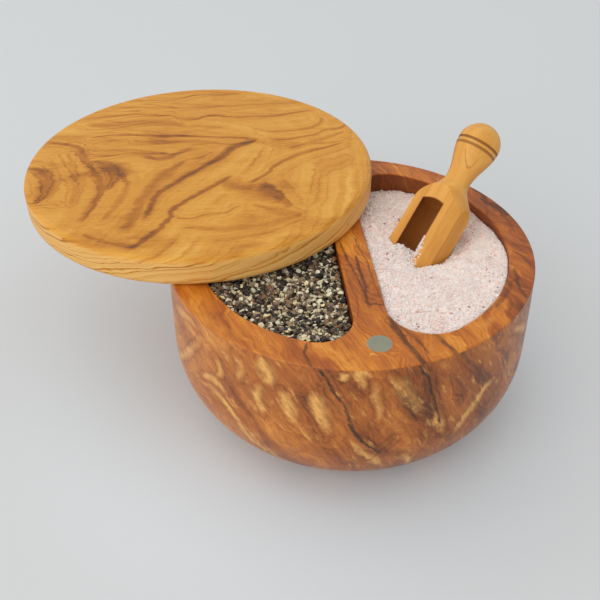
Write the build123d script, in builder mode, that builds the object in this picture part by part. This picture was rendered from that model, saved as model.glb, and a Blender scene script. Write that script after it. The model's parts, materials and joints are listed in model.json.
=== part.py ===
"""Wooden salt box with two compartments, a swivel lid held by magnets, and a turned scoop.

Millimetres, +Z up. The origin is the centre of the flat foot. The divider between the two
compartments runs along Y: the magnet is at its front end (-Y), the lid's pivot at its back end (+Y).
The lid is modelled swung open to the left, and the scoop stands in the salt on the right.
"""

import os
from math import cos, hypot, radians, sin

from build123d import *

# ---------------------------------------------------------------- bowl, outside
rim_diameter = 130.0  # outside, at the top
bowl_height = 66.0  # foot to rim
belly_swell = 0.5  # how far the widest place stands out past the rim
belly_height = 34.4  # height of the widest place
foot_inset = 24.7  # rim's edge in to the edge of the flat that the bowl stands on
rim_edge_round = 0.6  # the outer rim edge is crisp
foot_edge_round = 1.2

# ---------------------------------------------------------------- compartments
divider_thickness = 11.4
divider_shift = 0.6  # its middle, right of the bowl's axis
floor_thickness = 20.0  # foot to compartment floor
pocket_floor_round = 6.0  # left by the round-nosed cutter
salt_wall = 9.0  # at the rim
salt_corner_radius = 14.5  # where that wall meets the divider
pepper_wall = 11.2
pepper_corner_radius = 11.5
pocket_edge_round = 0.5

# ---------------------------------------------------------------- pivot and magnets
pivot_inset = 12.4  # rim's edge in to the pivot
pin_diameter = 6.0
pin_seat_depth = 20.0  # length pressed into the divider's back end
pin_running_clearance = 0.05  # radial, in the lid
pin_end_clearance = 0.3
magnet_diameter = 8.0
magnet_thickness = 3.0
magnet_inset = 11.7  # rim's edge in to the magnet's middle, opposite the pivot
magnet_shift = 1.2  # right of the bowl's axis

# ---------------------------------------------------------------- lid
lid_overhang = 2.3  # past the rim, all round, when shut
lid_thickness = 11.0
lid_edge_round = 2.5
lid_over_pin = 4.0  # wood left above the pin's blind bore
lid_open_angle = 86.9  # clockwise from shut, seen from above

# ---------------------------------------------------------------- scoop
barrel_diameter = 22.2
barrel_length = 32.7  # straight part, from the mouth
barrel_wall = 2.8
bore_end_reach = 1.6  # how far the bore's full width runs on past the straight part
bore_point_rise = 5.0  # the drill's pointed end, beyond that
slot_height = 6.7  # scoop's axis to the flat cut that opens the barrel
mouth_edge_round = 0.8
neck_diameter = 9.6
shoulder_length = 13.5  # straight part to the narrowest place
shoulder_crease_diameter = 12.4  # faint ring where the shoulder's curve meets the neck's
shoulder_crease_setback = 4.0  # from the narrowest place back to that ring
shoulder_crease_slopes = (0.85, 0.4)  # how fast the radius draws in on its two sides
handle_length = 15.5  # narrowest place to the knob's middle
knob_diameter = 16.0
knob_ring_width = 2.0  # bead between the two burnt grooves
knob_ring_drop = 1.8  # knob's middle to the middle of the bead
groove_radius = 0.45
upper_flat_depth = 0.9  # hand-sanded flats along the barrel, side by side
upper_flat_turn = 52.0  # from the slot round to that flat, in degrees
side_flat_depth = 0.8
side_flat_turn = 97.0

scoop_rise_angle = 40.9  # the scoop's axis above level
scoop_azimuth = 41.7  # its heading, from +X towards +Y
scoop_roll = -10.8  # the slot's turn from straight up
scoop_divider_gap = 0.7  # buried mouth to the divider
scoop_forward = 5.34  # the mouth's middle in front of the bowl's axis
scoop_buried = 16.19  # the mouth's middle below the rim

# ---------------------------------------------------------------- what the box holds
fill_side_gap = 0.2  # grains stand this far off the compartment walls
salt_level = 1.4  # below the rim, beside the middle of the divider
salt_crown = 0.6  # below the rim, where the salt is highest
salt_slope = 6.6  # degrees, down towards the back
salt_fall_heading = 92.0
pepper_level = 5.5  # below the rim
scoop_gap = 0.3  # salt to scoop, all round
salt_plug_length = 15.0  # how far the salt reaches up inside the barrel

# ---------------------------------------------------------------- worked out from the above
rim_radius = rim_diameter / 2
belly_radius = rim_radius + belly_swell
foot_radius = rim_radius - foot_inset
salt_pocket_radius = rim_radius - salt_wall
pepper_pocket_radius = rim_radius - pepper_wall
pocket_depth = bowl_height - floor_thickness
pivot_reach = rim_radius - pivot_inset
magnet_reach = rim_radius - magnet_inset
salt_side_face = divider_shift + divider_thickness / 2
lid_radius = rim_radius + lid_overhang
lid_pin_bore_depth = lid_thickness - lid_over_pin
pin_radius = pin_diameter / 2
magnet_radius = magnet_diameter / 2
barrel_radius = barrel_diameter / 2
bore_radius = barrel_radius - barrel_wall
bore_length = barrel_length + bore_end_reach
neck_radius = neck_diameter / 2
knob_radius = knob_diameter / 2
neck_distance = barrel_length + shoulder_length
knob_distance = neck_distance + handle_length
scoop_length = knob_distance + knob_radius
ring_distance = knob_distance - knob_ring_drop

rim_plane = Plane.XY.offset(bowl_height)


def direction(elevation, azimuth):
    """Unit vector at an elevation above level and an azimuth from +X, in degrees."""
    return Vector(
        cos(radians(elevation)) * cos(radians(azimuth)),
        cos(radians(elevation)) * sin(radians(azimuth)),
        sin(radians(elevation)),
    )


def pocket_outline(radius, corner_radius, side, gap=0.0):
    """Compartment seen from above: a circle cut straight by the divider, corners rounded."""
    with BuildSketch(mode=Mode.PRIVATE) as outline:
        Circle(radius - gap)
        divider_face = divider_shift + side * (divider_thickness / 2 + gap)
        with Locations((divider_face + side * radius, 0)):
            Rectangle(2 * radius, 3 * radius, mode=Mode.INTERSECT)
        fillet(outline.vertices(), corner_radius - gap)
    return outline.sketch


# ================================================================ bowl
with BuildPart() as bowl:
    # Half section: big lower corner, then a wall that draws in very slightly to the rim.
    with BuildSketch(Plane.XZ) as half_section:
        with BuildLine():
            belly = (belly_radius, belly_height)
            corner = TangentArc(belly, (foot_radius, 0), tangent=(0, -1))
            wall = TangentArc(belly, (rim_radius, bowl_height), tangent=(0, 1))
            Polyline(wall @ 1, (0, bowl_height), (0, 0), corner @ 1)
        make_face()
    revolve(axis=Axis.Z)
    fillet(bowl.edges().filter_by(GeomType.CIRCLE).group_by(Axis.Z)[-1], rim_edge_round)
    fillet(bowl.edges().filter_by(GeomType.CIRCLE).group_by(Axis.Z)[0], foot_edge_round)

    # Salt on the right, pepper on the left.
    with BuildSketch(rim_plane):
        add(pocket_outline(salt_pocket_radius, salt_corner_radius, 1))
        add(pocket_outline(pepper_pocket_radius, pepper_corner_radius, -1))
    extrude(amount=-pocket_depth, mode=Mode.SUBTRACT)
    floor_faces = bowl.faces().filter_by(Plane.XY).filter_by(
        lambda face: abs(face.center().Z - floor_thickness) < 0.001
    )
    fillet(floor_faces.edges(), pocket_floor_round)
    pocket_mouths = (
        bowl.edges()
        .group_by(Axis.Z)[-1]
        .filter_by(lambda edge: hypot(edge.center().X, edge.center().Y) > 0.001)
    )
    fillet(pocket_mouths, pocket_edge_round)

    # Seats for the pin and the magnet, one at each end of the divider.
    with BuildSketch(rim_plane):
        with Locations((0, pivot_reach)):
            Circle(pin_radius)
    extrude(amount=-pin_seat_depth, mode=Mode.SUBTRACT)
    with BuildSketch(rim_plane):
        with Locations((magnet_shift, -magnet_reach)):
            Circle(magnet_radius)
    extrude(amount=-magnet_thickness, mode=Mode.SUBTRACT)

# ================================================================ pivot pin and bowl magnet
with BuildPart() as pivot_pin:
    with BuildSketch(rim_plane.offset(-pin_seat_depth)):
        with Locations((0, pivot_reach)):
            Circle(pin_radius)
    extrude(amount=pin_seat_depth + lid_pin_bore_depth - pin_end_clearance)
    chamfer(pivot_pin.edges().group_by(Axis.Z)[-1], pin_radius / 6)

with BuildPart() as bowl_magnet:
    with BuildSketch(rim_plane.offset(-magnet_thickness)):
        with Locations((magnet_shift, -magnet_reach)):
            Circle(magnet_radius)
    extrude(amount=magnet_thickness)

# ================================================================ lid
# The lid's own plane lies on the rim. Its X and Y are those of the shut box, turned about the pivot.
open_turn = radians(-lid_open_angle)
lid_plane = Plane(
    origin=(
        pivot_reach * sin(open_turn),
        pivot_reach * (1 - cos(open_turn)),
        bowl_height,
    ),
    x_dir=(cos(open_turn), sin(open_turn), 0),
    z_dir=(0, 0, 1),
)

with BuildPart() as lid:
    with BuildSketch(lid_plane):
        Circle(lid_radius)
    extrude(amount=lid_thickness)
    fillet(lid.edges().filter_by(GeomType.CIRCLE), lid_edge_round)
    with BuildSketch(lid_plane):
        with Locations((0, pivot_reach)):
            Circle(pin_radius + pin_running_clearance)
    extrude(amount=lid_pin_bore_depth, mode=Mode.SUBTRACT)
    with BuildSketch(lid_plane):
        with Locations((magnet_shift, -magnet_reach)):
            Circle(magnet_radius)
    extrude(amount=magnet_thickness, mode=Mode.SUBTRACT)

with BuildPart() as lid_magnet:
    with BuildSketch(lid_plane):
        with Locations((magnet_shift, -magnet_reach)):
            Circle(magnet_radius)
    extrude(amount=magnet_thickness)

# ================================================================ scoop
# A plane square to the scoop's axis at its mouth: its Z runs up to the knob, its X out of the slot.
scoop_heading = direction(scoop_rise_angle, scoop_azimuth)
straight_up = direction(scoop_rise_angle + 90, scoop_azimuth)
slot_facing = straight_up.rotate(Axis((0, 0, 0), scoop_heading), scoop_roll)
mouth_half_width = barrel_radius * (1 - scoop_heading.X**2) ** 0.5
scoop_mouth = (
    salt_side_face + scoop_divider_gap + mouth_half_width,
    -scoop_forward,
    bowl_height - scoop_buried,
)
mouth_plane = Plane(origin=scoop_mouth, x_dir=slot_facing, z_dir=scoop_heading)
# A plane along the axis for the turned profile: its X out of the slot, its Y up to the knob.
scoop_side = Plane(
    origin=scoop_mouth,
    x_dir=slot_facing,
    z_dir=slot_facing.cross(scoop_heading),
)
scoop_axis = Axis(scoop_mouth, scoop_heading)

with BuildPart() as scoop:
    with BuildSketch(scoop_side):
        with BuildLine():
            lip = RadiusArc(
                (barrel_radius - mouth_edge_round, 0),
                (barrel_radius, mouth_edge_round),
                -mouth_edge_round,
            )
            barrel_side = Line(lip @ 1, (barrel_radius, barrel_length))
            shoulder = Spline(
                barrel_side @ 1,
                (shoulder_crease_diameter / 2, neck_distance - shoulder_crease_setback),
                tangents=[(0, 1), (-shoulder_crease_slopes[0], 1)],
            )
            neck = Spline(
                shoulder @ 1,
                (neck_radius, neck_distance),
                tangents=[(-shoulder_crease_slopes[1], 1), (0, 1)],
            )
            handle = Spline(
                neck @ 1,
                (knob_radius, knob_distance),
                tangents=[(0, 1), (0, 1)],
            )
            knob = RadiusArc(handle @ 1, (0, scoop_length), -knob_radius)
            Polyline(knob @ 1, (0, 0), lip @ 0)
        make_face()
    revolve(axis=scoop_axis)

    # Two grooves leave a bead between them.
    with BuildSketch(scoop_side):
        for step in (-1, 1):
            with Locations((knob_radius, ring_distance + step * knob_ring_width / 2)):
                Circle(groove_radius)
    revolve(axis=scoop_axis, mode=Mode.SUBTRACT)

    # Bored from the mouth with a pointed drill.
    with BuildSketch(scoop_side):
        with BuildLine():
            Polyline(
                (0, -barrel_radius),
                (bore_radius, -barrel_radius),
                (bore_radius, bore_length),
                (0, bore_length + bore_point_rise),
                (0, -barrel_radius),
            )
        make_face()
    revolve(axis=scoop_axis, mode=Mode.SUBTRACT)

    # Opened by one long flat cut that runs out on the shoulder, and sanded flat along one side.
    flats = (
        (0, slot_height),
        (upper_flat_turn, barrel_radius - upper_flat_depth),
        (side_flat_turn, barrel_radius - side_flat_depth),
    )
    for turn, height in flats:
        facing = slot_facing.rotate(Axis((0, 0, 0), scoop_heading), turn)
        with BuildSketch(Plane(origin=scoop_mouth, x_dir=facing, z_dir=scoop_heading)):
            with Locations((height + barrel_radius, 0)):
                Rectangle(2 * barrel_radius, 4 * barrel_radius)
        extrude(amount=neck_distance, mode=Mode.SUBTRACT)

# ================================================================ salt and pepper
salt_surface = Plane(
    origin=(salt_side_face, 0, bowl_height - salt_level),
    z_dir=direction(90 - salt_slope, salt_fall_heading),
)

with BuildPart() as salt:
    with BuildSketch(Plane.XY.offset(floor_thickness)):
        add(pocket_outline(salt_pocket_radius, salt_corner_radius, 1, fill_side_gap))
    extrude(amount=pocket_depth - salt_crown)
    fillet(salt.edges().group_by(Axis.Z)[0], pocket_floor_round - fill_side_gap)
    split(bisect_by=salt_surface, keep=Keep.BOTTOM)
    # Way out for the scoop: its tube below the plug of salt, its full round above.
    with BuildSketch(mouth_plane.offset(-scoop_gap)):
        Circle(barrel_radius + scoop_gap)
        Circle(bore_radius - scoop_gap, mode=Mode.SUBTRACT)
        with Locations((slot_height + scoop_gap + barrel_radius, 0)):
            Rectangle(2 * barrel_radius, 4 * barrel_radius, mode=Mode.SUBTRACT)
    extrude(amount=scoop_length, mode=Mode.SUBTRACT)
    with BuildSketch(mouth_plane.offset(salt_plug_length)):
        Circle(barrel_radius + scoop_gap)
    extrude(amount=scoop_length, mode=Mode.SUBTRACT)

with BuildPart() as pepper:
    with BuildSketch(Plane.XY.offset(floor_thickness)):
        add(pocket_outline(pepper_pocket_radius, pepper_corner_radius, -1, fill_side_gap))
    extrude(amount=pocket_depth - pepper_level)
    fillet(pepper.edges().group_by(Axis.Z)[0], pocket_floor_round - fill_side_gap)

# ================================================================ write the pieces
os.makedirs("parts", exist_ok=True)

bowl.part.label = "bowl"
export_step(bowl.part, "parts/bowl.step")
pivot_pin.part.label = "pivot_pin"
export_step(pivot_pin.part, "parts/pivot_pin.step")
bowl_magnet.part.label = "bowl_magnet"
export_step(bowl_magnet.part, "parts/bowl_magnet.step")
lid.part.label = "lid"
export_step(lid.part, "parts/lid.step")
lid_magnet.part.label = "lid_magnet"
export_step(lid_magnet.part, "parts/lid_magnet.step")
scoop.part.label = "scoop"
export_step(scoop.part, "parts/scoop.step")
salt.part.label = "salt"
export_step(salt.part, "parts/salt.step")
pepper.part.label = "pepper"
export_step(pepper.part, "parts/pepper.step")
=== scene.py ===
# %% [markdown]
# # A wooden salt and pepper box, dressed for the camera
# The box is turned from olive wood: a bowl with two D-shaped compartments, a thick round lid that
# swivels on a pin, and a small turned scoop that stands in the salt. The solid shapes come from the
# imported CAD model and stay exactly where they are. What is added here is everything that a solid can't
# say: the figure of the wood, the loose grains of salt and of cracked pepper, the light and the camera.

import json
from math import exp, pi, radians

import bmesh
import bpy
import numpy as np
from mathutils import Matrix, Vector, noise


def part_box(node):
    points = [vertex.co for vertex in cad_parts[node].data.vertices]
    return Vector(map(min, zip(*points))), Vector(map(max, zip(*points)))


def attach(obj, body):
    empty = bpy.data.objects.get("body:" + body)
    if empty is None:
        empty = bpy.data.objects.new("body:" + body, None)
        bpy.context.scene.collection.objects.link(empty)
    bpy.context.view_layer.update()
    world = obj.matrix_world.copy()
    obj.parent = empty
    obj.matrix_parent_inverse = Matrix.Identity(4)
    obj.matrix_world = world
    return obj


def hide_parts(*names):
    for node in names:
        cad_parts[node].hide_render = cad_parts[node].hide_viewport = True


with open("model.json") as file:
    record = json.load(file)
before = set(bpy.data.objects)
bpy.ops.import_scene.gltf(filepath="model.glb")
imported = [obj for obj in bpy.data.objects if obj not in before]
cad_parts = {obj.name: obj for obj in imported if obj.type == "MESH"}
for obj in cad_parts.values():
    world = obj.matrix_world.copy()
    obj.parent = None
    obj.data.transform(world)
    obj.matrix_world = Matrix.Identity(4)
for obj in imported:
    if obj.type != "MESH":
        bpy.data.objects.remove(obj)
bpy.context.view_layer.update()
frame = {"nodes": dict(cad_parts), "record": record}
nodes = frame["nodes"]
MM = 0.001  # the frame is in metres
print("nodes:", ", ".join(sorted(nodes)))

# %% [markdown]
# ## Camera
# The photograph looks down at the box from the front, a little from the left. The camera is given by
# where it stands and by its own right, up and forward directions.

# %% Camera
camera_place = Vector((-43.62, -255.44, 244.52)) * MM
camera_right = Vector((0.99461, -0.10343, -0.00664))
camera_up = Vector((0.06898, 0.61279, 0.78723))

camera_data = bpy.data.cameras.new("camera")
camera_data.lens = 52.356  # millimetres, on a sensor 36 mm wide
camera_data.sensor_width = 36
camera_data.clip_start = 0.01  # the box is close, so near things are kept in view
camera = bpy.data.objects.new("camera", camera_data)
turn = Matrix((camera_right, camera_up, camera_right.cross(camera_up))).transposed()
camera.matrix_world = Matrix.Translation(camera_place) @ turn.to_4x4()
bpy.context.scene.collection.objects.link(camera)
bpy.context.scene.camera = camera
print("camera stands", round(camera_place.length / MM), "mm from the foot of the bowl")


# %% [markdown]
# ## Writing materials as arithmetic
# A wood figure is a formula of x, y and z. Blender builds formulas from Math nodes, which are slow to
# place by hand, so a small class lets ordinary Python arithmetic place them: every + or * on a Field
# adds one node. Lengths in the formulas are millimetres.

# %% Field: a number that varies over the surface
class Field:
    """One output of a shader node. Arithmetic on it adds the nodes that work it out."""

    def __init__(self, tree, socket):
        self.tree = tree
        self.socket = socket

    def math(self, operation, *others):
        node = self.tree.nodes.new("ShaderNodeMath")
        node.operation = operation
        for entry, value in zip(node.inputs, (self, *others)):
            feed(self.tree, entry, value)
        return Field(self.tree, node.outputs[0])

    def __add__(self, other):
        return self.math("ADD", other)

    def __sub__(self, other):
        return self.math("SUBTRACT", other)

    def __mul__(self, other):
        return self.math("MULTIPLY", other)

    def __truediv__(self, other):
        return self.math("DIVIDE", other)

    def __pow__(self, other):
        return self.math("POWER", other)

    __radd__ = __add__
    __rmul__ = __mul__

    def __rsub__(self, other):
        return self * -1.0 + other

    def size(self):
        return self.math("ABSOLUTE")

    def most(self, other):
        return self.math("MAXIMUM", other)

    def least(self, other):
        return self.math("MINIMUM", other)

    def step(self, low, high):
        """0 below low, 1 above high, and a smooth rise between them."""
        node = self.tree.nodes.new("ShaderNodeMapRange")
        node.interpolation_type = "SMOOTHSTEP"
        feed(self.tree, node.inputs["Value"], self)
        feed(self.tree, node.inputs["From Min"], low)
        feed(self.tree, node.inputs["From Max"], high)
        return Field(self.tree, node.outputs["Result"])


def feed(tree, entry, value):
    """Links a Field to a node's input, or sets the input to a plain value."""
    if isinstance(value, Field):
        tree.links.new(value.socket, entry)
    else:
        entry.default_value = value


# %% Vectors, noise and colours
def place_of(tree):
    """The point on the surface in millimetres, as a vector."""
    coordinate = tree.nodes.new("ShaderNodeTexCoord")
    return vector_math(tree, "SCALE", Field(tree, coordinate.outputs["Object"]), scale=1 / MM)


def vector_math(tree, operation, first, second=None, scale=None):
    """One Vector Math node, as a field."""
    node = tree.nodes.new("ShaderNodeVectorMath")
    node.operation = operation
    feed(tree, node.inputs[0], first)
    if second is not None:
        feed(tree, node.inputs[1], second)
    if scale is not None:
        feed(tree, node.inputs["Scale"], scale)
    return Field(tree, node.outputs["Value" if operation in ("LENGTH", "DOT_PRODUCT") else "Vector"])


def parts_of(vector):
    """The x, y and z of a vector field."""
    node = vector.tree.nodes.new("ShaderNodeSeparateXYZ")
    feed(vector.tree, node.inputs[0], vector)
    return [Field(vector.tree, out) for out in node.outputs]


def joined(tree, x, y, z):
    """A vector field from three numbers or fields."""
    node = tree.nodes.new("ShaderNodeCombineXYZ")
    for entry, value in zip(node.inputs, (x, y, z)):
        feed(tree, entry, value)
    return Field(tree, node.outputs[0])


def seen_from(vector, origin, axes, lengths=(1, 1, 1)):
    """The vector as coordinates in a frame of its own: axes are its three directions."""
    node = vector.tree.nodes.new("ShaderNodeMapping")
    node.vector_type = "TEXTURE"
    feed(vector.tree, node.inputs["Vector"], vector)
    node.inputs["Location"].default_value = origin
    node.inputs["Rotation"].default_value = Matrix(axes).transposed().to_euler()
    node.inputs["Scale"].default_value = lengths
    return Field(vector.tree, node.outputs[0])


def ripple(vector, lengths, detail=2.0, rough=0.5, offset=0.0):
    """Noise from -1 to 1. Lengths are the size of its lumps along x, y and z."""
    tree = vector.tree
    node = tree.nodes.new("ShaderNodeMapping")
    node.vector_type = "TEXTURE"
    feed(tree, node.inputs["Vector"], vector)
    node.inputs["Location"].default_value = (offset, offset, offset)
    node.inputs["Scale"].default_value = lengths
    lumps = tree.nodes.new("ShaderNodeTexNoise")
    tree.links.new(node.outputs[0], lumps.inputs["Vector"])
    lumps.inputs["Scale"].default_value = 1.0
    lumps.inputs["Detail"].default_value = detail
    lumps.inputs["Roughness"].default_value = rough
    return (Field(tree, lumps.outputs["Fac"]) - 0.5) * 2.0


def line_noise(value, detail=2.0, rough=0.5):
    """Noise from -1 to 1 along one number, so that every ring has a tone of its own."""
    node = value.tree.nodes.new("ShaderNodeTexNoise")
    node.noise_dimensions = "1D"
    feed(value.tree, node.inputs["W"], value)
    node.inputs["Scale"].default_value = 1.0
    node.inputs["Detail"].default_value = detail
    node.inputs["Roughness"].default_value = rough
    return (Field(value.tree, node.outputs["Fac"]) - 0.5) * 2.0


def shade(red, green, blue):
    """A colour as it looks on a screen, 0 to 255, made linear for the shader by the sRGB curve."""
    linear = [
        v / 12.92 if v <= 0.04045 else ((v + 0.055) / 1.055) ** 2.4
        for v in (red / 255, green / 255, blue / 255)
    ]
    return (*linear, 1.0)


def ramp(value, stops):
    """A colour that runs through the stops, each (place from 0 to 1, colour)."""
    node = value.tree.nodes.new("ShaderNodeValToRGB")
    feed(value.tree, node.inputs[0], value)
    points = node.color_ramp.elements
    while len(points) < len(stops):
        points.new(0.5)  # moved to its place below
    for point, (where, tone) in zip(points, stops):
        point.position = where
        point.color = tone
    return Field(value.tree, node.outputs[0])


def blend(share, first, second, mode="MIX"):
    """The first colour where share is 0, and the second where it is 1."""
    node = share.tree.nodes.new("ShaderNodeMix")
    node.data_type = "RGBA"
    node.blend_type = mode
    feed(share.tree, node.inputs["Factor"], share)
    # The node has a pair of inputs for each kind of data: 6 and 7 are the two colours.
    feed(share.tree, node.inputs[6], first)
    feed(share.tree, node.inputs[7], second)
    return Field(share.tree, node.outputs[2])


print("helpers ready")


# %% [markdown]
# ## Veins
# The dark veins that make olive wood easy to tell run where they like, so the main ones are laid one by
# one, like brush strokes: each is a short path of points in millimetres and a few widths. A stroke works
# in the frame of its own chord, where a Float Curve node holds how far the path sways to either side,
# and a second one holds the width. The wood behind them comes from noise.

# %% A vein
def curve_of(value, heights):
    """A smooth curve through evenly spaced heights, read at value from 0 to 1."""
    tree = value.tree
    reach = max(abs(h) for h in heights) or 1.0
    node = tree.nodes.new("ShaderNodeFloatCurve")
    feed(tree, node.inputs["Value"], value)
    curve = node.mapping.curves[0]
    while len(curve.points) < len(heights):
        curve.points.new(0.5, 0.5)
    for index, (point, height) in enumerate(zip(curve.points, heights)):
        point.location = (index / (len(heights) - 1), 0.5 + height / reach / 2)
    node.mapping.update()
    return (Field(tree, node.outputs[0]) - 0.5) * (2 * reach)


THINNEST = 0.01  # a stroke's width never falls below this, in millimetres
END_GAP = 1.5  # how much faster the distance grows past a stroke's ends than beside it


def vein(point, path, width, soft=1.0, core=0.2, taper=0.05):
    """A stroke along a path in the pattern's x and y: its strength, 0 to 1, and the distance from it.
    Soft is how many times further it fades on its right-hand side than on its left. Core is the share of
    the width that is full strength, and taper the share of the length over which each end fades."""
    start, end = Vector((*path[0], 0)), Vector((*path[-1], 0))
    along = (end - start).normalized()
    side = Vector((-along.y, along.x, 0))
    length = (end - start).length
    local = seen_from(point, start, (along, side, (0, 0, 1)), (length, 1, 1))
    run, across, _ = parts_of(local)
    # The path as seen from its chord, read off at even stations, as the curve's points are even too.
    spots = [Vector((*spot, 0)) - start for spot in path]
    laid = [(spot.dot(along) / length, spot.dot(side)) for spot in spots]
    stations = np.linspace(0, 1, 2 * len(path) - 1)
    sway = np.interp(stations, [place for place, _ in laid], [offset for _, offset in laid])
    off = across - curve_of(run, [float(offset) for offset in sway]) if len(path) > 2 else across
    reach = (off * (-1.0 / soft)).most(off)
    body = reach / curve_of(run, width).most(THINNEST)
    strength = (1.0 - body.step(core, 1.0)) * run.step(-0.02, taper) * (1.0 - run.step(1.0 - taper, 1.02))
    past_end = (run - 1.0).most(0.0 - run).most(0.0) * (length * END_GAP)
    return strength, off.size() + past_end


def painted(point, strokes, core=0.2, taper=0.05):
    """Several strokes, each (path, widths, soft, strength): their sum, at most 1.1, and the distance from
    the nearest of them in millimetres."""
    total, nearest = None, None
    for path, width, soft, strength in strokes:
        ink, gap = vein(point, path, width, soft, core, taper)
        total = ink * strength if total is None else total + ink * strength
        nearest = gap if nearest is None else nearest.least(gap)
    return total.least(1.1), nearest


def mixed(share, first, second):
    """The first number where share is 0, and the second where it is 1."""
    return (second - first) * share + first


# %% Materials: the parts that all of them share
def new_material(name):
    """A material, its node tree and its shader."""
    material = bpy.data.materials.new(name)
    material.use_nodes = True
    tree = material.node_tree
    return material, tree, tree.nodes["Principled BSDF"]


def raise_bump(tree, shader, height, depth):
    """Height from -1 to 1, as relief of that depth in millimetres."""
    bump = tree.nodes.new("ShaderNodeBump")
    bump.inputs["Strength"].default_value = 1.0
    bump.inputs["Distance"].default_value = depth * MM
    feed(tree, bump.inputs["Height"], height)
    tree.links.new(bump.outputs[0], shader.inputs["Normal"])


def dress(node, material):
    """Gives a CAD node one material all over."""
    mesh = nodes[node].data
    mesh.materials.clear()
    mesh.materials.append(material)


print("vein and material helpers ready")

# %% [markdown]
# ## Lid wood
# The lid is a board cut almost flat through the rings, so they come out as long lines along the grain
# and close round a tongue in the middle. The rings here are the level lines of one formula: distance
# from the tongue's tip plus a slope, so that they crowd above it and spread below. Going down the edge
# the rings are met further out, which is the same as sliding the pattern sideways with depth.

# %% Lid wood
lid_low, lid_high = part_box("lid")
lid_centre = (lid_low + lid_high) / 2 / MM
lid_top = lid_high.z / MM

HONEY = shade(210, 146, 51)
PALE_HONEY = shade(225, 171, 80)
TAWNY = shade(189, 121, 36)
TOFFEE = shade(160, 94, 26)
UMBER = shade(113, 65, 23)

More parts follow.
